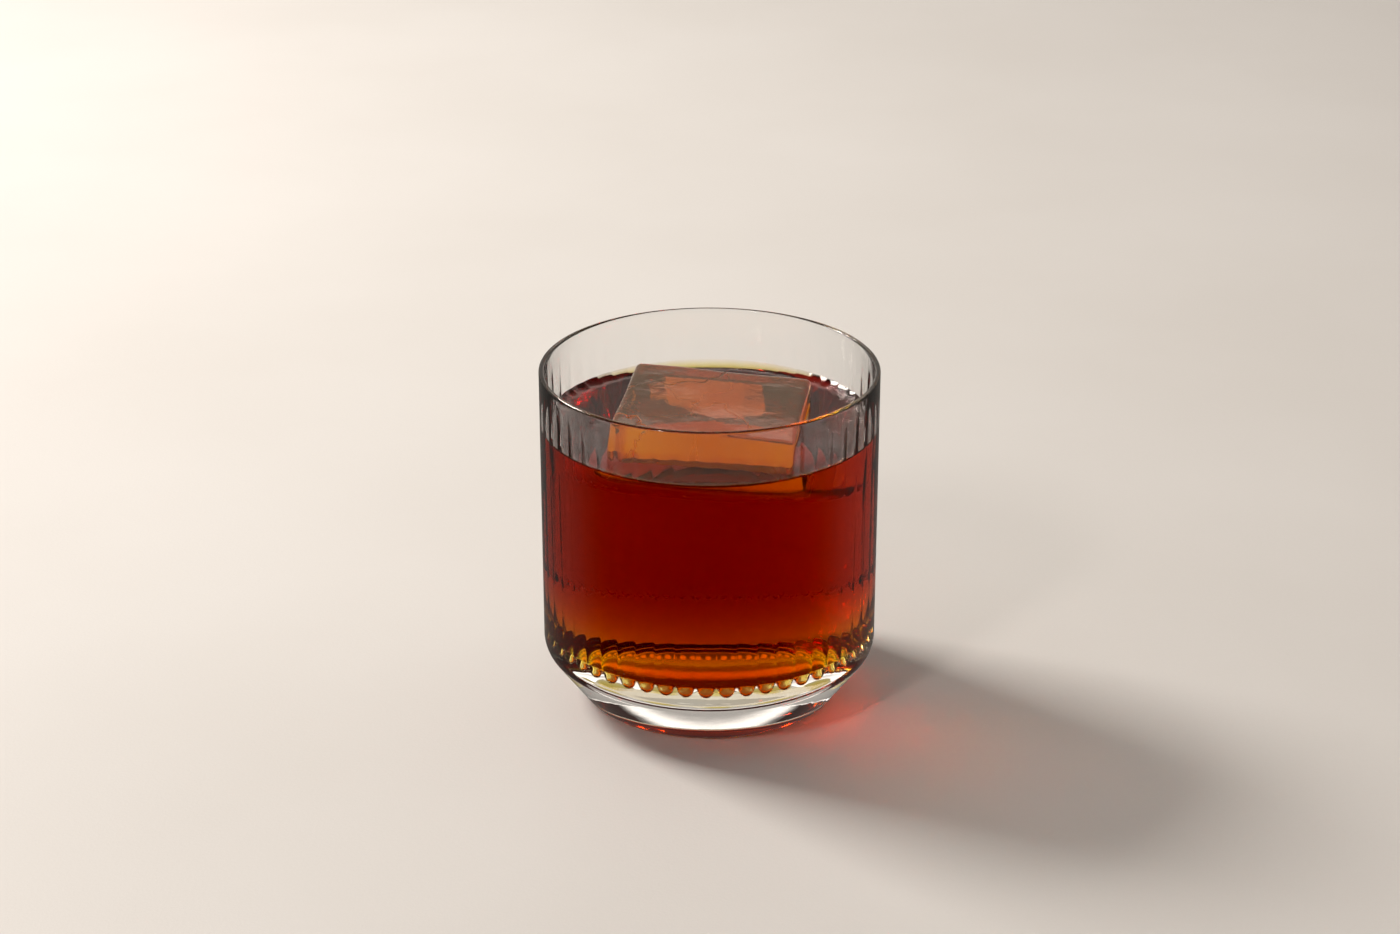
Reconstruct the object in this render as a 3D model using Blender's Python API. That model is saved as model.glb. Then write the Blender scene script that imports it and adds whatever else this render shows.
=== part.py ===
"""A black russian on the rocks: coffee liqueur and vodka round one large clear ice cube, in a tumbler.

The tumbler is pressed clear glass: a straight wall with fine optic ribs down its inside, on a thick
base that narrows in a cone to a ring and is hollowed a little from below. Units are metres, +Z is up,
and the origin is the centre of the ring on the surface that the glass stands on.
"""

import math

import bmesh
import bpy
from mathutils import Euler, Vector, noise

# Tumbler, outside
RIM_RADIUS = 0.0425
GLASS_HEIGHT = 0.0870
FOOT_RADIUS = 0.0329
FOOT_ROUNDING = 0.0015
RECESS_RADIUS = 0.0275
RECESS_HEIGHT = 0.0046
RECESS_SQUARENESS = 8
CONE_ANGLE = math.radians(53.4)
SHOULDER_ROUNDING = 0.0055

# Tumbler, inside
RIM_WALL = 0.0013
LOW_WALL = 0.0023
BASE_THICKNESS = 0.0174
DISH_DEPTH = 0.0032
CORNER_ROUNDING = 0.0012
RIBS = 50
RIB_DEPTH = 0.0003
RIB_DEPTH_LOW = 0.0007
RIB_TOP = 0.0020
RIB_FADE = 0.0080
POCKET_DEPTH = 0.0019
POCKET_WIDTH = 0.85
POCKET_LENGTH = 0.0030

# Contents
DRINK_LEVEL = 0.0713
ICE_SIZE = Vector((0.0453, 0.0435, 0.0305))
ICE_FRONT_HEIGHT = 0.0125
ICE_PLACE = Vector((0.0002, -0.0035, 0.0637))
ICE_TURN = Euler((math.radians(0.7), math.radians(2.7), math.radians(-7.7)))
ICE_ROUNDING = 0.0016
MELT_DEPTH = 0.0007
MELT_SIZE = 0.020
GAP = 0.0003

# How finely the solids are faceted
STEPS_PER_RIB = 4
GLASS_STEPS = RIBS * STEPS_PER_RIB
FOOT_STEPS = 2
SHOULDER_STEPS = 3
RIM_STEPS = 4
FADE_STEPS = 3
CORNER_STEPS = 4
DISH_STEPS = 3
RECESS_STEPS = 3
DRINK_STEPS = 80
ICE_CUTS = 5
ICE_EDGE_STEPS = 3


def clear_scene():
    for old in list(bpy.data.objects):
        bpy.data.objects.remove(old, do_unlink=True)


def make_material(name, colour, roughness, transmission, ior):
    material = bpy.data.materials.new(name)
    material.use_nodes = True
    shader = material.node_tree.nodes["Principled BSDF"]
    shader.inputs["Base Color"].default_value = (*colour, 1.0)
    shader.inputs["Roughness"].default_value = roughness
    shader.inputs["Metallic"].default_value = 0.0
    shader.inputs["Transmission Weight"].default_value = transmission
    shader.inputs["IOR"].default_value = ior
    return material


def arc(centre, radius, start, end, steps):
    """Points of an arc in the (radius, height) plane. Angles are from outward, anticlockwise."""
    points = []
    for step in range(steps + 1):
        angle = start + (end - start) * step / steps
        points.append((centre[0] + radius * math.cos(angle), centre[1] + radius * math.sin(angle)))
    return points


def wall_at(height):
    """Mean thickness of the wall, which grows from the rim down to the base."""
    share = (GLASS_HEIGHT - height) / (GLASS_HEIGHT - BASE_THICKNESS)
    return RIM_WALL + (LOW_WALL - RIM_WALL) * min(max(share, 0.0), 1.0)


def inner_radius(height):
    return RIM_RADIUS - wall_at(height)


def smooth_step(value):
    value = min(max(value, 0.0), 1.0)
    return value * value * (3.0 - 2.0 * value)


def rib_depth(height):
    """Depth of the ribs: none at the rim, and more and more from the drink's level to the floor."""
    from_rim = smooth_step((GLASS_HEIGHT - RIB_TOP - height) / RIB_FADE)
    share = min(max((DRINK_LEVEL - height) / (DRINK_LEVEL - BASE_THICKNESS), 0.0), 1.0)
    return from_rim * (RIB_DEPTH + (RIB_DEPTH_LOW - RIB_DEPTH) * share)


def recess_profile():
    """(radius, height) points of the hollow under the base: flat in the middle, steep at its edge."""
    points = []
    for step in range(RECESS_STEPS + 1):
        turn = math.pi / 2 * step / RECESS_STEPS
        radius = RECESS_RADIUS * math.sin(turn) ** (2 / RECESS_SQUARENESS)
        points.append((radius, RECESS_HEIGHT * math.cos(turn) ** 2))
    return points


def outer_profile():
    """(radius, height) points of the outside, from the middle of the recess up to the wall."""
    lean = math.pi / 2 - CONE_ANGLE
    foot_inset = FOOT_ROUNDING * math.tan(CONE_ANGLE / 2)
    foot_centre = (FOOT_RADIUS - foot_inset, FOOT_ROUNDING)
    foot = arc(foot_centre, FOOT_ROUNDING, -math.pi / 2, -lean, FOOT_STEPS)
    corner_height = (RIM_RADIUS - FOOT_RADIUS) * math.tan(CONE_ANGLE)
    shoulder_centre = (
        RIM_RADIUS - SHOULDER_ROUNDING,
        corner_height + SHOULDER_ROUNDING * math.tan(lean / 2),
    )
    shoulder = arc(shoulder_centre, SHOULDER_ROUNDING, -lean, 0.0, SHOULDER_STEPS)
    return [*recess_profile(), *foot, *shoulder]


def rim_profile():
    """The rim's rounding, from the outer wall over the top to the inner wall."""
    radius = RIM_WALL / 2
    centre = (RIM_RADIUS - radius, GLASS_HEIGHT - radius)
    return arc(centre, radius, 0.0, math.pi, RIM_STEPS)


def hollow_profile(inset):
    """The dished floor and its rounded corner, from the middle to the wall, held in by a distance."""
    corner_top = BASE_THICKNESS + CORNER_ROUNDING
    centre = (inner_radius(corner_top) - CORNER_ROUNDING, corner_top)
    slope = math.atan(2 * DISH_DEPTH / centre[0])
    corner = arc(centre, CORNER_ROUNDING - inset, slope - math.pi / 2, 0.0, CORNER_STEPS)
    edge_radius, edge_height = corner[0]
    points = []
    for step in range(DISH_STEPS):
        share = step / DISH_STEPS
        points.append((edge_radius * share, edge_height - DISH_DEPTH * (1.0 - share * share)))
    return points + corner


def inner_profile():
    """(radius, height) points of the inside, from below the rim down to the centre of the floor."""
    points = []
    for step in range(FADE_STEPS + 1):
        height = GLASS_HEIGHT - RIB_TOP - RIB_FADE * step / FADE_STEPS
        points.append((inner_radius(height), height))
    points.append((inner_radius(DRINK_LEVEL), DRINK_LEVEL))
    return points + hollow_profile(0.0)[::-1]


def spin_profile(name, profile, steps):
    """A closed body of revolution, spun about Z from a profile that starts and ends on the axis."""
    mesh = bpy.data.meshes.new(name)
    body = bmesh.new()
    line = [body.verts.new((radius, 0.0, height)) for radius, height in profile]
    edges = [body.edges.new(pair) for pair in zip(line, line[1:])]
    bmesh.ops.spin(
        body,
        geom=line + edges,
        cent=(0.0, 0.0, 0.0),
        axis=(0.0, 0.0, 1.0),
        angle=2 * math.pi,
        steps=steps,
        use_merge=True,
    )
    bmesh.ops.remove_doubles(body, verts=body.verts[:], dist=1e-6)
    bmesh.ops.recalc_face_normals(body, faces=body.faces[:])
    for face in body.faces:
        face.smooth = True
    body.to_mesh(mesh)
    body.free()
    piece = bpy.data.objects.new(name, mesh)
    bpy.context.scene.collection.objects.link(piece)
    return piece


def pocket_depth(angle, radius):
    """Depth of the rounded pocket in which each rib's groove ends, a little below the floor."""
    turn = RIBS * angle / (2 * math.pi)
    across = 2.0 * (turn - round(turn)) / POCKET_WIDTH
    along = 1.0 + 2.0 * (radius - inner_radius(BASE_THICKNESS)) / POCKET_LENGTH
    return POCKET_DEPTH * math.sqrt(max(1.0 - across ** 2 - along ** 2, 0.0))


def press_ribs(piece):
    """Waves the inner wall in and out once for each rib, down and round the bottom corner."""
    corner_top = BASE_THICKNESS + CORNER_ROUNDING
    corner_radius = inner_radius(corner_top) - CORNER_ROUNDING
    for vertex in piece.data.vertices:
        across = vertex.co * Vector((1.0, 1.0, 0.0))
        height = vertex.co.z
        inside = corner_radius < across.length < (inner_radius(height) + RIM_RADIUS) / 2
        if not inside or height < BASE_THICKNESS:
            continue
        angle = math.atan2(across.y, across.x)
        wave = math.cos(RIBS * angle) * rib_depth(height) / 2
        turn = math.atan2(max(corner_top - height, 0.0), across.length - corner_radius)
        vertex.co += across.normalized() * wave * math.cos(turn)
        vertex.co.z -= wave * math.sin(turn)
        if height < corner_top:
            vertex.co.z -= pocket_depth(angle, across.length)


def build_glass():
    profile = outer_profile() + rim_profile() + inner_profile()
    glass = spin_profile("glass", profile, GLASS_STEPS)
    press_ribs(glass)
    glass.data.materials.append(make_material("clear_glass", (0.98, 0.98, 0.97), 0.02, 1.0, 1.5))


def ice_block(name, grow):
    """The block, thinner at the front, with melted edges and faces, grown by a distance all round."""
    body = bmesh.new()
    bmesh.ops.create_cube(body, size=1.0)
    bmesh.ops.scale(body, vec=ICE_SIZE + Vector.Fill(3, 2 * grow), verts=body.verts[:])
    bmesh.ops.bevel(
        body,
        geom=body.edges[:],
        offset=ICE_ROUNDING + grow,
        offset_type="OFFSET",
        segments=ICE_EDGE_STEPS,
        profile=0.5,
        affect="EDGES",
    )
    long_edges = [edge for edge in body.edges if edge.calc_length() > 2 * ICE_ROUNDING]
    bmesh.ops.subdivide_edges(body, edges=long_edges, cuts=ICE_CUTS, use_grid_fill=True)
    bmesh.ops.recalc_face_normals(body, faces=body.faces[:])
    body.normal_update()
    for vertex in body.verts:
        melt = MELT_DEPTH * noise.noise(vertex.co / MELT_SIZE)
        vertex.co += vertex.normal * melt
        share = min(max(0.5 + vertex.co.y / ICE_SIZE.y, 0.0), 1.0)
        height = ICE_FRONT_HEIGHT + (ICE_SIZE.z - ICE_FRONT_HEIGHT) * share
        top = ICE_SIZE.z / 2 + grow
        vertex.co.z = top - (top - vertex.co.z) * (height + 2 * grow) / (ICE_SIZE.z + 2 * grow)
    for face in body.faces:
        face.smooth = True
    mesh = bpy.data.meshes.new(name)
    body.to_mesh(mesh)
    body.free()
    piece = bpy.data.objects.new(name, mesh)
    piece.rotation_euler = ICE_TURN
    piece.location = ICE_PLACE
    bpy.context.scene.collection.objects.link(piece)
    return piece


def drink_profile():
    """(radius, height) points of the drink, clear of the floor, the corner and the ribs by the gap."""
    low_inset = RIB_DEPTH_LOW / 2 + GAP
    top = (inner_radius(DRINK_LEVEL) - RIB_DEPTH / 2 - GAP, DRINK_LEVEL)
    return [*hollow_profile(low_inset), top, (0.0, DRINK_LEVEL)]


def build_contents():
    ice = ice_block("ice", 0.0)
    ice.data.materials.append(make_material("clear_ice", (0.95, 0.97, 1.0), 0.05, 1.0, 1.31))

    pocket = ice_block("ice_pocket", GAP)
    pocket.hide_render = True
    pocket.display_type = "WIRE"

    drink = spin_profile("drink", drink_profile(), DRINK_STEPS)
    drink.data.materials.append(make_material("dark_liqueur", (0.30, 0.03, 0.01), 0.02, 0.9, 1.35))
    cut = drink.modifiers.new("round_the_ice", "BOOLEAN")
    cut.operation = "DIFFERENCE"
    cut.solver = "EXACT"
    cut.object = pocket


clear_scene()
build_glass()
build_contents()
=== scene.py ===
"""Looks for a black russian: drink and one large ice cube in a ribbed tumbler on a thick coned base."""

import math

import bpy
import numpy as np
from mathutils import Euler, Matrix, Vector


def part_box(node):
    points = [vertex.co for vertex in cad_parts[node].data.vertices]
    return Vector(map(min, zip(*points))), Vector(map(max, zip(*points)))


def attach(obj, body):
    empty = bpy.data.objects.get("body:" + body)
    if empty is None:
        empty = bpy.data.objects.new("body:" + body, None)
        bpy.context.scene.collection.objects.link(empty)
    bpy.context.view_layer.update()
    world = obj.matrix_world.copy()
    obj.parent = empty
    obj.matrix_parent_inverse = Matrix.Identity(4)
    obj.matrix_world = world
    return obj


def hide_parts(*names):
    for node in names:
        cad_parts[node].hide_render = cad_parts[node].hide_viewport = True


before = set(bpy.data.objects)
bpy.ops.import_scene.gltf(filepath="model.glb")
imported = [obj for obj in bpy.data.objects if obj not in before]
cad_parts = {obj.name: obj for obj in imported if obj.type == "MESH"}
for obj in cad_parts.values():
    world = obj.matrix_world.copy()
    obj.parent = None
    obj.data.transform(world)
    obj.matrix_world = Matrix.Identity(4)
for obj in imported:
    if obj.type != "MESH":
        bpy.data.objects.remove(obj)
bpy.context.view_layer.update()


# ------------------------------------------------------------------------------------------------
# Studio. A pale floor of fine plaster in a dim room, with one bright band high on the wall behind
# that lights the base of the glass. A soft lamp stands behind on the left, and a small weak one in
# front on the left gives the rim and the wet edges their glints.
# ------------------------------------------------------------------------------------------------
CAMERA_PLACE = (-0.00238, -0.6941, 0.3607)
CAMERA_PITCH = math.radians(23.44)
LENS_MM = 77.14
SENSOR_MM = 36.0
FLOOR_SIZE = 8.0
FLOOR_HEIGHT = -0.0003
FLOOR_COLOUR = (0.745, 0.72, 0.70)
FLOOR_SHADE = (0.715, 0.687, 0.663)
FLOOR_ROUGHNESS = (0.52, 0.68)
GRAIN_SIZE = 0.0009
GRAIN_DEPTH = 0.00004
CLOUD_SIZE = 0.16
BACKDROP_COLOUR = (1.0, 0.91, 0.82)
BACKDROP_BOTTOM = math.radians(27.0)
BACKDROP_TOP = math.radians(35.0)
BACKDROP_EDGE = 0.05
BACKDROP_LIGHT = 1.75
WALL_LIGHT = 0.5
LOW_SHARE = 0.3
LOW_EDGE = 0.08
CEILING_SHARE = 0.16
ROOM_EDGE = 0.35
ROOM_SHARE = 0.22
LIT_POINT = (0.0, 0.0, 0.04)
KEY_PLACE = (-0.95, 0.62, 0.95)
KEY_SIZE = (0.45, 0.45)
KEY_WATTS = 22.0
KEY_COLOUR = (1.0, 0.95, 0.88)
GLINT_PLACE = (-0.55, -0.75, 0.85)
GLINT_SIZE = (0.14, 0.22)
GLINT_WATTS = 2.2
GLINT_COLOUR = (1.0, 0.93, 0.88)
BLACK_LEVEL = (0.003, 0.003, 0.003)


def add_camera():
    data = bpy.data.cameras.new("camera")
    data.lens = LENS_MM
    data.sensor_width = SENSOR_MM
    data.clip_start = 0.01
    camera = bpy.data.objects.new("camera", data)
    camera.location = CAMERA_PLACE
    camera.rotation_euler = (math.pi / 2 - CAMERA_PITCH, 0.0, 0.0)
    bpy.context.scene.collection.objects.link(camera)
    bpy.context.scene.camera = camera


def add_lamp(name, place, target, size, power, colour):
    data = bpy.data.lights.new(name, "AREA")
    data.shape = "RECTANGLE"
    data.size, data.size_y = size
    data.energy = power
    data.color = colour
    lamp = bpy.data.objects.new(name, data)
    lamp.location = place
    lamp.rotation_euler = (Vector(target) - Vector(place)).to_track_quat("-Z", "Y").to_euler()
    bpy.context.scene.collection.objects.link(lamp)


def surface_waves():
    """Node group: soft irregular waves of a given size and depth over a surface.

    It puts out their height, from 0 to 1, and the normal that they give."""
    group = bpy.data.node_groups.new("surface_waves", "ShaderNodeTree")
    for name, start in (("Size", 0.01), ("Detail", 2.0), ("Depth", 0.0001)):
        group.interface.new_socket(name, in_out="INPUT", socket_type="NodeSocketFloat").default_value = start
    group.interface.new_socket("Height", in_out="OUTPUT", socket_type="NodeSocketFloat")
    group.interface.new_socket("Normal", in_out="OUTPUT", socket_type="NodeSocketVector")
    nodes, links = group.nodes, group.links
    given = nodes.new("NodeGroupInput")
    place = nodes.new("ShaderNodeTexCoord")
    per_metre = nodes.new("ShaderNodeMath")
    per_metre.operation = "DIVIDE"
    per_metre.inputs[0].default_value = 1.0
    links.new(given.outputs["Size"], per_metre.inputs[1])
    waves = nodes.new("ShaderNodeTexNoise")
    links.new(place.outputs["Object"], waves.inputs["Vector"])
    links.new(per_metre.outputs["Value"], waves.inputs["Scale"])
    links.new(given.outputs["Detail"], waves.inputs["Detail"])
    bump = nodes.new("ShaderNodeBump")
    links.new(given.outputs["Depth"], bump.inputs["Distance"])
    links.new(waves.outputs["Fac"], bump.inputs["Height"])
    put_out = nodes.new("NodeGroupOutput")
    links.new(waves.outputs["Fac"], put_out.inputs["Height"])
    links.new(bump.outputs["Normal"], put_out.inputs["Normal"])
    return group


def add_waves(material, size, detail, depth=0.0):
    """Places the group in a material with its own values. Without a depth it is only a mask."""
    waves = material.node_tree.nodes.new("ShaderNodeGroup")
    waves.node_tree = bpy.data.node_groups.get("surface_waves") or surface_waves()
    waves.inputs["Size"].default_value = size
    waves.inputs["Detail"].default_value = detail
    waves.inputs["Depth"].default_value = depth
    return waves


def vary(material, mask, socket, low, high, start=0.35, end=0.65):
    """Moves a number of the shader from low to high as the mask goes from start to end."""
    nodes, links = material.node_tree.nodes, material.node_tree.links
    spread = nodes.new("ShaderNodeMapRange")
    spread.inputs["From Min"].default_value = start
    spread.inputs["From Max"].default_value = end
    spread.inputs["To Min"].default_value = low
    spread.inputs["To Max"].default_value = high
    links.new(mask, spread.inputs["Value"])
    links.new(spread.outputs["Result"], nodes["Principled BSDF"].inputs[socket])


def vary_colour(material, mask, low, high, start=0.35, end=0.65):
    """Blends the base colour from low to high as the mask goes from start to end."""
    nodes, links = material.node_tree.nodes, material.node_tree.links
    ramp = nodes.new("ShaderNodeValToRGB")
    ramp.color_ramp.elements[0].position = start
    ramp.color_ramp.elements[0].color = (*low, 1.0)
    ramp.color_ramp.elements[1].position = end
    ramp.color_ramp.elements[1].color = (*high, 1.0)
    links.new(mask, ramp.inputs["Fac"])
    links.new(ramp.outputs["Color"], nodes["Principled BSDF"].inputs["Base Color"])


def pale_floor():
    material = bpy.data.materials.new("pale_floor")
    material.use_nodes = True
    clouds = add_waves(material, CLOUD_SIZE, detail=4.0)
    grain = add_waves(material, GRAIN_SIZE, detail=5.0, depth=GRAIN_DEPTH)
    vary_colour(material, clouds.outputs["Height"], FLOOR_SHADE, FLOOR_COLOUR)
    vary(material, grain.outputs["Height"], "Roughness", *FLOOR_ROUGHNESS)
    shader = material.node_tree.nodes["Principled BSDF"]
    material.node_tree.links.new(grain.outputs["Normal"], shader.inputs["Normal"])
    return material


def add_sky():
    """A bright band high on the wall behind, with a dim wall under it and a dim ceiling over it.

    Below the horizon and on the camera's side the room is darker still."""
    world = bpy.data.worlds.new("studio")
    world.use_nodes = True
    nodes, links = world.node_tree.nodes, world.node_tree.links
    direction = nodes.new("ShaderNodeTexCoord")
    split = nodes.new("ShaderNodeSeparateXYZ")
    links.new(direction.outputs["Generated"], split.inputs[0])
    bottom, top = math.sin(BACKDROP_BOTTOM), math.sin(BACKDROP_TOP)
    shades = (
        ("Z", bottom - BACKDROP_EDGE, bottom + BACKDROP_EDGE, WALL_LIGHT, BACKDROP_LIGHT),
        ("Z", top - BACKDROP_EDGE, top + BACKDROP_EDGE, 1.0, CEILING_SHARE),
        ("Z", -LOW_EDGE, 0.0, LOW_SHARE, 1.0),
        ("Y", -ROOM_EDGE, ROOM_EDGE, ROOM_SHARE, 1.0),
    )
    strength = None
    for axis, start, end, low, high in shades:
        shade = nodes.new("ShaderNodeMapRange")
        shade.interpolation_type = "SMOOTHSTEP"
        shade.inputs["From Min"].default_value = start
        shade.inputs["From Max"].default_value = end
        shade.inputs["To Min"].default_value = low
        shade.inputs["To Max"].default_value = high
        links.new(split.outputs[axis], shade.inputs["Value"])
        if strength is None:
            strength = shade.outputs["Result"]
            continue
        product = nodes.new("ShaderNodeMath")
        product.operation = "MULTIPLY"
        links.new(strength, product.inputs[0])
        links.new(shade.outputs["Result"], product.inputs[1])
        strength = product.outputs["Value"]
    sky = nodes["Background"]
    sky.inputs["Color"].default_value = (*BACKDROP_COLOUR, 1.0)
    links.new(strength, sky.inputs["Strength"])
    bpy.context.scene.world = world


add_camera()
add_sky()
bpy.ops.mesh.primitive_plane_add(size=FLOOR_SIZE, location=(0.0, 0.0, FLOOR_HEIGHT))
floor = bpy.context.object
floor.name = "floor"
floor.data.materials.append(pale_floor())
floor.visible_glossy = False
add_lamp("key", KEY_PLACE, LIT_POINT, KEY_SIZE, KEY_WATTS, KEY_COLOUR)
add_lamp("glint", GLINT_PLACE, LIT_POINT, GLINT_SIZE, GLINT_WATTS, GLINT_COLOUR)

scene = bpy.context.scene
scene.view_settings.view_transform = "Standard"
scene.view_settings.use_curve_mapping = True
scene.view_settings.curve_mapping.black_level = BLACK_LEVEL
scene.cycles.max_bounces = 32
scene.cycles.transmission_bounces = 32
scene.cycles.glossy_bounces = 12
scene.cycles.diffuse_bounces = 4
scene.cycles.caustics_refractive = True
scene.cycles.caustics_reflective = True
scene.cycles.blur_glossy = 0.3


# ------------------------------------------------------------------------------------------------
# Tumbler. Pressed clear glass in one piece: a straight wall with a fire-polished rim, fine optic
# ribs pressed down its inside, and a thick solid base whose outside narrows in a cone to the foot.
# ------------------------------------------------------------------------------------------------
GLASS_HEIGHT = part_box("glass")[1][2]
RIM_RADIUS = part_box("glass")[1][0]
FOOT_RADIUS = 0.0329
FOOT_ROUNDING = 0.0015
CONE_ANGLE = math.radians(53.4)
SHOULDER_ROUNDING = 0.0055
RIM_WALL = 0.0013
LOW_WALL = 0.0023
BASE_THICKNESS = 0.0174
DISH_DEPTH = 0.0032
CORNER_ROUNDING = 0.0012
CORNER_TOP = BASE_THICKNESS + CORNER_ROUNDING
DISH_BOTTOM = BASE_THICKNESS - DISH_DEPTH
RECESS_HEIGHT = 0.0046
RECESS_RADIUS = 0.0275
RECESS_SQUARENESS = 8
RIBS = 50
RIB_DEPTH = 0.0002
RIB_DEPTH_LOW = 0.0007
RIB_GROWTH = 0.5
RIB_RUN_OUT = 0.0030
POCKET_DEPTH = 0.0019
POCKET_LENGTH = 0.0030
POCKET_SHARE = 0.85
RIB_TOP = 0.0020
RIB_FADE = 0.0110
RIB_PHASE = math.radians(-1.3)
RIB_STEPS = 16
SPIN_STEPS = RIBS * RIB_STEPS
RECESS_STEPS = 12
FOOT_STEPS = 6
SHOULDER_STEPS = 10
RIM_STEPS = 10
DRY_STEPS = 14
WALL_STEPS = 16
CORNER_STEPS = 12
DISH_STEPS = 16
POINT = 1e-6
WETTING = 0.00004
GLASS_IOR = 1.5
GLASS_COLOUR = (0.99, 0.995, 0.99)
GLASS_SHADE = (0.98, 0.99, 0.982)
GLASS_ROUGHNESS = (0.0, 0.02)
PRESSING_SIZE = 0.007
PRESSING_DEPTH = 0.000035
SMUDGE_SIZE = 0.012
SMUDGE_START = 0.55
SMUDGE_END = 0.75
DRINK_IOR = 1.39
DRINK_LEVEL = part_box("drink")[1][2]
MENISCUS_HEIGHT = 0.0016
WET_HEIGHT = DRINK_LEVEL + MENISCUS_HEIGHT


def arc(centre, radius, start, end, steps):
    """Points of an arc in the (radius, height) plane. Angles are from outward, anticlockwise."""
    points = []
    for step in range(steps + 1):
        angle = start + (end - start) * step / steps
        points.append((centre[0] + radius * math.cos(angle), centre[1] + radius * math.sin(angle)))
    return points


def straight(start, end, steps):
    """Points between two points of a profile, without its ends."""
    return [
        (start[0] + (end[0] - start[0]) * step / steps, start[1] + (end[1] - start[1]) * step / steps)
        for step in range(1, steps)
    ]


def inner_radius(height):
    share = (GLASS_HEIGHT - height) / (GLASS_HEIGHT - BASE_THICKNESS)
    return RIM_RADIUS - RIM_WALL - (LOW_WALL - RIM_WALL) * np.clip(share, 0.0, 1.0)


def smooth_step(value):
    value = np.clip(value, 0.0, 1.0)
    return value * value * (3.0 - 2.0 * value)


def rib_depth(height):
    """Depth of the flutes: none at the rim, then more and more down to the floor."""
    from_rim = smooth_step((GLASS_HEIGHT - RIB_TOP - height) / RIB_FADE)
    share = np.clip((DRINK_LEVEL - height) / (DRINK_LEVEL - BASE_THICKNESS), 0.0, 1.0)
    return from_rim * (RIB_DEPTH + (RIB_DEPTH_LOW - RIB_DEPTH) * share ** RIB_GROWTH)


def across_flute(points):
    """Place of each point across its flute: 0 in the middle, 1 and -1 on the ridges beside it."""
    turn = (np.arctan2(points[:, 1], points[:, 0]) + math.pi / 2 - RIB_PHASE) * RIBS / (2 * math.pi)
    return 2.0 * (turn - np.round(turn))


def start_edit():
    bpy.ops.object.mode_set(mode="EDIT")
    bpy.ops.mesh.select_mode(type="VERT")
    bpy.ops.mesh.select_all(action="SELECT")


def spin_profile(name, profile, steps):
    """Draws a profile point by point, spins it once round Z, and closes it at the poles."""
    bpy.ops.object.select_all(action="DESELECT")
    bpy.ops.mesh.primitive_plane_add(size=POINT)
    piece = bpy.context.object
    piece.name = name
    start_edit()
    bpy.ops.mesh.merge(type="CENTER")
    bpy.ops.transform.translate(value=(profile[0][0], 0.0, profile[0][1]))
    for before, after in zip(profile, profile[1:]):
        step = (after[0] - before[0], 0.0, after[1] - before[1])
        bpy.ops.mesh.extrude_region_move(TRANSFORM_OT_translate={"value": step})
    bpy.ops.mesh.select_all(action="SELECT")
    bpy.ops.mesh.spin(steps=steps, angle=2 * math.pi, center=(0.0, 0.0, 0.0), axis=(0.0, 0.0, 1.0))
    bpy.ops.mesh.select_all(action="SELECT")
    bpy.ops.mesh.remove_doubles(threshold=POINT)
    bpy.ops.mesh.normals_make_consistent(inside=False)
    bpy.ops.object.mode_set(mode="OBJECT")
    bpy.ops.object.shade_smooth()
    return piece


def press_ribs(piece):
    """Presses the flutes into the inner wall, or into the drink that lies against it.

    They are shallow arcs that meet in ridges, turn round the bottom corner with the wall, and end in
    small rounded pockets that reach a little below the floor and take a share of each flute's width."""
    points = np.empty(len(piece.data.vertices) * 3)
    piece.data.vertices.foreach_get("co", points)
    points = points.reshape(-1, 3)
    radius, height = np.hypot(points[:, 0], points[:, 1]), points[:, 2]
    corner_radius = inner_radius(CORNER_TOP) - CORNER_ROUNDING
    inside = (radius < inner_radius(height) + RIM_WALL / 4) & (height > DISH_BOTTOM - 2 * WETTING)
    across = across_flute(points)
    wave = (1.0 / 3.0 - across ** 2) * rib_depth(height) * inside
    turn = np.arctan2(np.maximum(CORNER_TOP - height, 0.0), np.maximum(radius - corner_radius, 0.0))
    turn[height > CORNER_TOP] = 0.0
    run_out = smooth_step((radius - corner_radius + RIB_RUN_OUT) / RIB_RUN_OUT)
    along = 1.0 + 2.0 * (radius - inner_radius(BASE_THICKNESS)) / POCKET_LENGTH
    pocket = np.sqrt(np.clip(1.0 - (across / POCKET_SHARE) ** 2 - along ** 2, 0.0, 1.0))
    pocket *= inside & (height < CORNER_TOP)
    points[:, :2] *= (1.0 + wave * np.cos(turn) / np.maximum(radius, POINT))[:, None]
    points[:, 2] -= wave * np.sin(turn) * run_out + POCKET_DEPTH * pocket
    piece.data.vertices.foreach_set("co", points.ravel())
    piece.data.update()


def set_ior(piece, against):
    """Stores on each face the index of refraction against what lies on its other side."""
    values = np.array([against(face) for face in piece.data.polygons])
    attribute = piece.data.attributes.new("ior", "FLOAT", "FACE")
    attribute.data.foreach_set("value", values)


def read_ior(material):
    """Feeds the stored index to the shader."""
    tree = material.node_tree
    stored = tree.nodes.new("ShaderNodeAttribute")
    stored.attribute_name = "ior"
    tree.links.new(stored.outputs["Fac"], tree.nodes["Principled BSDF"].inputs["IOR"])


def recess():
    """The hollow under the base, from its middle to the ring that the tumbler stands on."""
    points = []
    for step in range(RECESS_STEPS):
        turn = math.pi / 2 * step / RECESS_STEPS
        radius = RECESS_RADIUS * math.sin(turn) ** (2 / RECESS_SQUARENESS)
        points.append((radius, RECESS_HEIGHT * math.cos(turn) ** 2))
    return points


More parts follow.
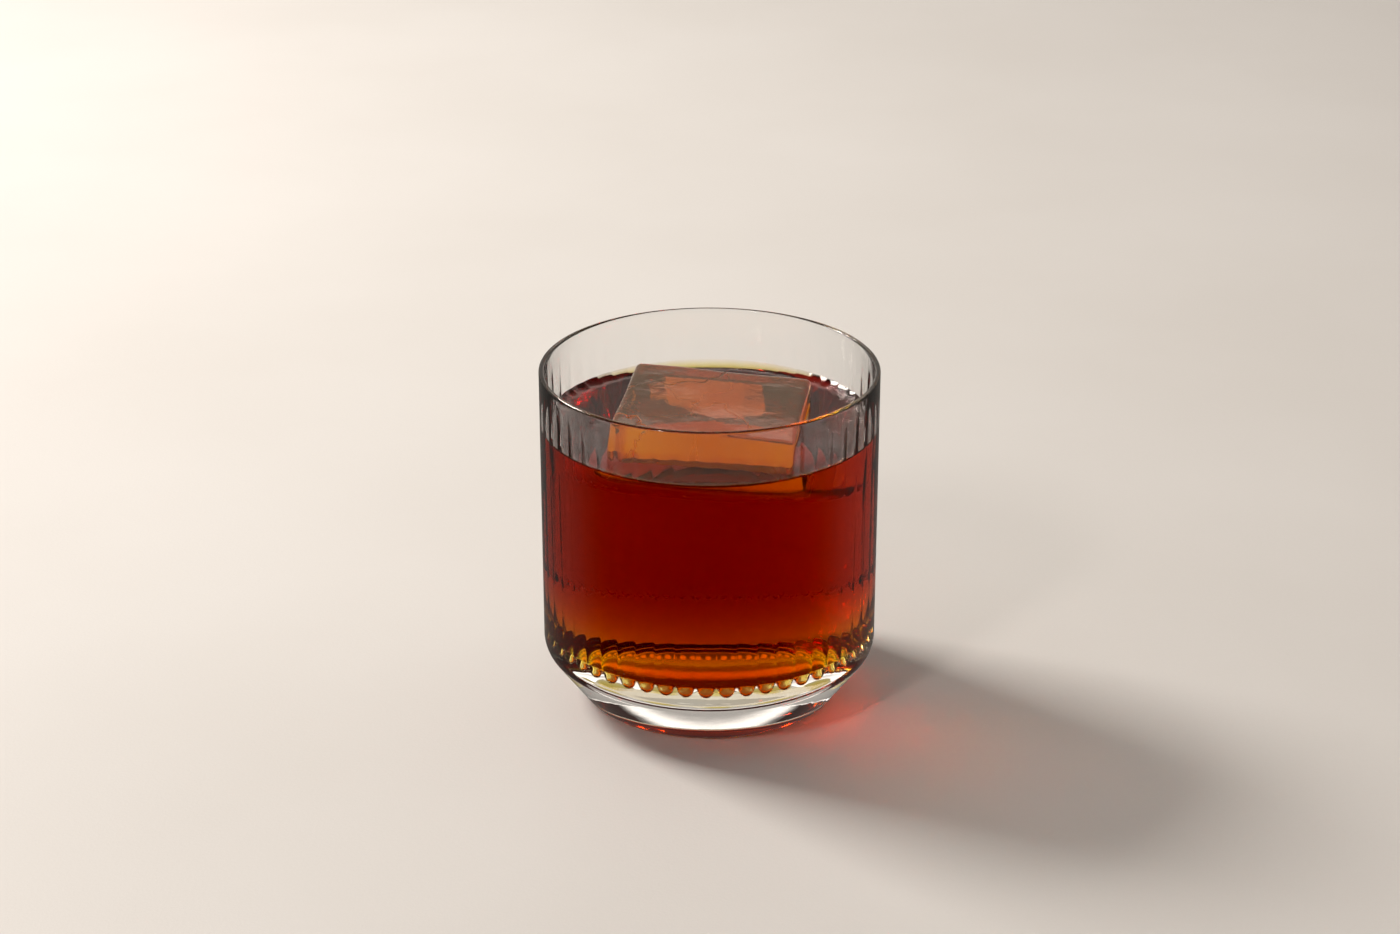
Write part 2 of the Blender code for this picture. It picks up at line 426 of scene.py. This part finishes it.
def hollow(sink=0.0):
    """The dished inner floor and its rounded corner, from the middle up to the straight wall.

    The drink's is the same, sunk a little into the glass."""
    centre = (inner_radius(CORNER_TOP) - CORNER_ROUNDING, CORNER_TOP)
    slope = math.atan(2 * DISH_DEPTH / centre[0])
    corner = arc(centre, CORNER_ROUNDING + sink, slope - math.pi / 2, 0.0, CORNER_STEPS)
    edge = corner[0]
    points = []
    for step in range(DISH_STEPS):
        share = 1.0 - (1.0 - step / DISH_STEPS) ** 2
        points.append((edge[0] * share, edge[1] - DISH_DEPTH * (1.0 - share * share)))
    return points + corner


def tumbler_profile():
    lean = math.pi / 2 - CONE_ANGLE
    foot_inset = FOOT_ROUNDING * math.tan(CONE_ANGLE / 2)
    foot_centre = (FOOT_RADIUS - foot_inset, FOOT_ROUNDING)
    foot = arc(foot_centre, FOOT_ROUNDING, -math.pi / 2, -lean, FOOT_STEPS)
    corner_height = (RIM_RADIUS - FOOT_RADIUS) * math.tan(CONE_ANGLE)
    shoulder_height = corner_height + SHOULDER_ROUNDING * math.tan(lean / 2)
    shoulder_centre = (RIM_RADIUS - SHOULDER_ROUNDING, shoulder_height)
    shoulder = arc(shoulder_centre, SHOULDER_ROUNDING, -lean, 0.0, SHOULDER_STEPS)
    rim_rounding = RIM_WALL / 2
    rim_centre = (RIM_RADIUS - rim_rounding, GLASS_HEIGHT - rim_rounding)
    rim = arc(rim_centre, rim_rounding, 0.0, math.pi, RIM_STEPS)
    inside = hollow()[::-1]
    profile = recess()
    profile.append((RECESS_RADIUS, 0.0))
    profile += foot + shoulder + rim
    wet = (inner_radius(WET_HEIGHT), WET_HEIGHT)
    profile += straight(rim[-1], wet, DRY_STEPS)
    profile.append(wet)
    profile += straight(wet, inside[0], WALL_STEPS)
    return profile + inside


def clear_glass():
    """Clear glass with faint waves from the press and a few smudges."""
    material = bpy.data.materials.new("clear_glass")
    material.use_nodes = True
    shader = material.node_tree.nodes["Principled BSDF"]
    shader.inputs["IOR"].default_value = GLASS_IOR
    shader.inputs["Transmission Weight"].default_value = 1.0
    pressing = add_waves(material, PRESSING_SIZE, detail=2.0, depth=PRESSING_DEPTH)
    material.node_tree.links.new(pressing.outputs["Normal"], shader.inputs["Normal"])
    smudges = add_waves(material, SMUDGE_SIZE, detail=4.0)
    vary(material, smudges.outputs["Height"], "Roughness", *GLASS_ROUGHNESS, SMUDGE_START, SMUDGE_END)
    vary_colour(material, pressing.outputs["Height"], GLASS_SHADE, GLASS_COLOUR)
    read_ior(material)
    return material


def glass_against(face):
    """The glass is wet inside, from its floor up to where the drink climbs."""
    inside = math.hypot(face.center.x, face.center.y) < RIM_RADIUS - RIM_WALL / 2
    wet = inside and DISH_BOTTOM - RIM_WALL < face.center.z < WET_HEIGHT
    return GLASS_IOR / DRINK_IOR if wet else GLASS_IOR


tumbler = spin_profile("tumbler", tumbler_profile(), SPIN_STEPS)
press_ribs(tumbler)
set_ior(tumbler, glass_against)
tumbler.data.materials.append(clear_glass())
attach(tumbler, "root")
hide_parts("glass")


# ------------------------------------------------------------------------------------------------
# Ice. One wet block frozen clear, with wavy faces and edges that melting has rounded. Its colour
# is a painted amber glow, deeper in patches, that stands in for the light reaching it through the
# drink. It is thinner in front than behind, stands 6 to 9 mm above the drink, and is turned a
# little and tipped down to the right.
# ------------------------------------------------------------------------------------------------
ICE_SIZE = Vector((0.0453, 0.0435, 0.0305))
ICE_PLACE = Vector((0.0002, -0.0035, 0.0637))
ICE_TURN = Euler((math.radians(0.7), math.radians(2.7), math.radians(-7.7)))
ICE_FRONT_HEIGHT = 0.0125
ICE_ROUNDING = 0.0016
ICE_LOW_ROUNDING = 0.0050
ICE_CUTS = 40
MELT_DEPTH = 0.0007
MELT_SIZE = 0.020
ICE_IOR = 1.31
ICE_CLEARNESS = 0.93
# Painted amber glow in the ice's colour, standing in for light that reaches it through the drink.
ICE_PAINTED_GLOW = (1.0, 0.74, 0.42)
ICE_PAINTED_GLOW_DEEP = (1.0, 0.62, 0.30)
ICE_ROUGHNESS = 0.03
GLOW_PATCH_SIZE = 0.014
DIMPLE_SIZE = 0.0035
DIMPLE_DEPTH = 0.00012
CRACK_SPACING = 0.060
CRACK_BEND = 0.030
CRACK_WIDTH = 0.0003
CRACK_DEPTH = 0.0002
CRACK_ROUGHNESS = 0.35


def add_modifier(piece, kind, **settings):
    modifier = piece.modifiers.new(kind.lower(), kind)
    for name, value in settings.items():
        setattr(modifier, name, value)
    bpy.ops.object.select_all(action="DESELECT")
    piece.select_set(True)
    bpy.context.view_layer.objects.active = piece
    bpy.ops.object.modifier_apply(modifier=modifier.name)


def melt_texture():
    texture = bpy.data.textures.new("melt", "CLOUDS")
    texture.noise_scale = MELT_SIZE
    texture.noise_depth = 1
    return texture


def add_cracks(material, bend):
    """Mask of the hairline cracks in the ice: 1 beside them and 0 in their middle."""
    nodes, links = material.node_tree.nodes, material.node_tree.links
    place = nodes.new("ShaderNodeTexCoord")
    bent = nodes.new("ShaderNodeVectorMath")
    bent.operation = "MULTIPLY_ADD"
    bent.inputs[1].default_value = (CRACK_BEND,) * 3
    links.new(bend, bent.inputs[0])
    links.new(place.outputs["Object"], bent.inputs[2])
    cells = nodes.new("ShaderNodeTexVoronoi")
    cells.feature = "DISTANCE_TO_EDGE"
    cells.inputs["Scale"].default_value = 1.0 / CRACK_SPACING
    links.new(bent.outputs["Vector"], cells.inputs["Vector"])
    edge = nodes.new("ShaderNodeMapRange")
    edge.interpolation_type = "SMOOTHSTEP"
    edge.inputs["From Max"].default_value = CRACK_WIDTH / CRACK_SPACING
    links.new(cells.outputs["Distance"], edge.inputs["Value"])
    return edge.outputs["Result"]


def clear_ice():
    """Wet ice with a painted amber glow in patches, dimpled by melting and with a few hairline cracks."""
    material = bpy.data.materials.new("clear_ice")
    material.use_nodes = True
    nodes, links = material.node_tree.nodes, material.node_tree.links
    shader = nodes["Principled BSDF"]
    shader.inputs["IOR"].default_value = ICE_IOR
    shader.inputs["Transmission Weight"].default_value = ICE_CLEARNESS
    # Patches where the painted amber glow is deeper. The same mask bends the cracks.
    glow_patches = add_waves(material, GLOW_PATCH_SIZE, detail=3.0)
    vary_colour(material, glow_patches.outputs["Height"], ICE_PAINTED_GLOW_DEEP, ICE_PAINTED_GLOW)
    dimples = add_waves(material, DIMPLE_SIZE, detail=3.0, depth=DIMPLE_DEPTH)
    cracks = add_cracks(material, glow_patches.outputs["Height"])
    vary(material, cracks, "Roughness", CRACK_ROUGHNESS, ICE_ROUGHNESS, start=0.0, end=1.0)
    groove = nodes.new("ShaderNodeBump")
    groove.inputs["Distance"].default_value = CRACK_DEPTH
    links.new(cracks, groove.inputs["Height"])
    links.new(dimples.outputs["Normal"], groove.inputs["Normal"])
    links.new(groove.outputs["Normal"], shader.inputs["Normal"])
    read_ior(material)
    return material


def ice_against(face):
    """Below the drink the ice shows only through the drink's own face."""
    return ICE_IOR if face.center.z > WET_HEIGHT else 1.0


bpy.ops.object.select_all(action="DESELECT")
bpy.ops.mesh.primitive_cube_add(size=1.0)
ice_block = bpy.context.object
ice_block.name = "ice_block"
ice_block.scale = ICE_SIZE
bpy.ops.object.transform_apply(location=False, rotation=False, scale=True)
start_edit()
bpy.ops.mesh.subdivide(number_cuts=ICE_CUTS, smoothness=0.0)
bpy.ops.object.mode_set(mode="OBJECT")

# Its edges are rounded, the lower ones more, and its underside slopes up to the front.
half = ICE_SIZE / 2
for vertex in ice_block.data.vertices:
    low = smooth_step(-vertex.co.z / half.z)
    rounding = ICE_ROUNDING + (ICE_LOW_ROUNDING - ICE_ROUNDING) * low
    core = Vector([max(-half[i] + rounding, min(half[i] - rounding, vertex.co[i])) for i in range(3)])
    vertex.co = core + (vertex.co - core).normalized() * rounding
    share = 0.5 + vertex.co.y / ICE_SIZE.y
    height = ICE_FRONT_HEIGHT + (ICE_SIZE.z - ICE_FRONT_HEIGHT) * share
    vertex.co.z = half.z - (half.z - vertex.co.z) * height / ICE_SIZE.z
add_modifier(ice_block, "DISPLACE", texture=melt_texture(), strength=MELT_DEPTH, mid_level=0.5)
bpy.ops.object.shade_smooth()
ice_block.rotation_euler = ICE_TURN
ice_block.location = ICE_PLACE
bpy.ops.object.transform_apply(location=True, rotation=True, scale=True)

# A seam where the drink's edge meets it parts its dry faces from its wet ones.
start_edit()
bpy.ops.mesh.bisect(plane_co=(0.0, 0.0, WET_HEIGHT), plane_no=(0.0, 0.0, 1.0))
bpy.ops.object.mode_set(mode="OBJECT")
set_ior(ice_block, ice_against)
ice_block.data.materials.append(clear_ice())
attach(ice_block, "root")
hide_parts("ice")


# ------------------------------------------------------------------------------------------------
# Drink. Coffee liqueur and vodka, dark red-amber and clear. It wets the glass and the ice, so it
# reaches just into both, and its surface climbs a little where it meets the glass.
# ------------------------------------------------------------------------------------------------
MENISCUS_WIDTH = 0.0014
SURFACE_RINGS = 46
SURFACE_SPREAD = 1.15
UPWARD = 0.2
ABSORBED_COLOUR = (0.955, 0.835, 0.0)
ABSORBED_DENSITY = 420.0
RIPPLE_SIZE = 0.009
RIPPLE_DEPTH = 0.00006
SWIRL_SIZE = 0.011
SWIRL_COLOUR = (1.0, 0.93, 0.84)
CLEAR_COLOUR = (1.0, 1.0, 1.0)
DRINK_ROUGHNESS = (0.01, 0.0)
SHARP_ANGLE = math.radians(40.0)


def drink_profile():
    """From the middle of the floor up the wall, then in over the surface with its raised edge."""
    edge = inner_radius(WET_HEIGHT) + WETTING
    profile = hollow(WETTING)
    profile += straight(profile[-1], (edge, WET_HEIGHT), WALL_STEPS)
    profile.append((edge, WET_HEIGHT))
    for ring in range(1, SURFACE_RINGS):
        share = ring / SURFACE_RINGS
        radius = edge * (1.0 - share ** SURFACE_SPREAD)
        rise = MENISCUS_HEIGHT * math.exp(-(edge - radius) / MENISCUS_WIDTH)
        profile.append((radius, DRINK_LEVEL + rise))
    profile.append((0.0, DRINK_LEVEL))
    return profile


def dark_liqueur():
    """Clear liquid whose body takes up the light, with faint swirls and ripples on its faces."""
    material = bpy.data.materials.new("dark_liqueur")
    material.use_nodes = True
    tree = material.node_tree
    shader = tree.nodes["Principled BSDF"]
    shader.inputs["IOR"].default_value = DRINK_IOR
    shader.inputs["Transmission Weight"].default_value = 1.0
    ripples = add_waves(material, RIPPLE_SIZE, detail=2.0, depth=RIPPLE_DEPTH)
    tree.links.new(ripples.outputs["Normal"], shader.inputs["Normal"])
    swirls = add_waves(material, SWIRL_SIZE, detail=4.0)
    vary_colour(material, swirls.outputs["Height"], SWIRL_COLOUR, CLEAR_COLOUR)
    vary(material, swirls.outputs["Height"], "Roughness", *DRINK_ROUGHNESS)
    read_ior(material)
    body = tree.nodes.new("ShaderNodeVolumeAbsorption")
    body.inputs["Color"].default_value = (*ABSORBED_COLOUR, 1.0)
    body.inputs["Density"].default_value = ABSORBED_DENSITY
    tree.links.new(body.outputs["Volume"], tree.nodes["Material Output"].inputs["Volume"])
    return material


def drink_against(face):
    """The surface meets the air, the sides meet the glass, and the pocket meets the ice."""
    centre = face.center
    if centre.z > DRINK_LEVEL - WETTING and face.normal.z > UPWARD:
        return DRINK_IOR
    radius = math.hypot(centre.x, centre.y)
    if radius > inner_radius(centre.z) - RIB_DEPTH_LOW or centre.z < CORNER_TOP:
        return 1.0
    return DRINK_IOR / ICE_IOR


drink_body = spin_profile("drink_body", drink_profile(), SPIN_STEPS)
press_ribs(drink_body)

# A copy of the ice, a little smaller, cuts the pocket that the ice floats in.
bpy.ops.object.select_all(action="DESELECT")
ice_block.select_set(True)
bpy.context.view_layer.objects.active = ice_block
bpy.ops.object.duplicate()
pocket = bpy.context.object
pocket.name = "pocket"
start_edit()
bpy.ops.transform.shrink_fatten(value=-WETTING)
bpy.ops.object.mode_set(mode="OBJECT")
add_modifier(drink_body, "BOOLEAN", operation="DIFFERENCE", solver="EXACT", object=pocket)
bpy.data.objects.remove(pocket, do_unlink=True)

# The cut has brought the ice's index along, so it is taken off before the drink gets its own.
drink_body.data.attributes.remove(drink_body.data.attributes["ior"])
set_ior(drink_body, drink_against)
bpy.ops.object.shade_smooth_by_angle(angle=SHARP_ANGLE)
drink_body.data.materials.append(dark_liqueur())
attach(drink_body, "root")
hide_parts("drink")
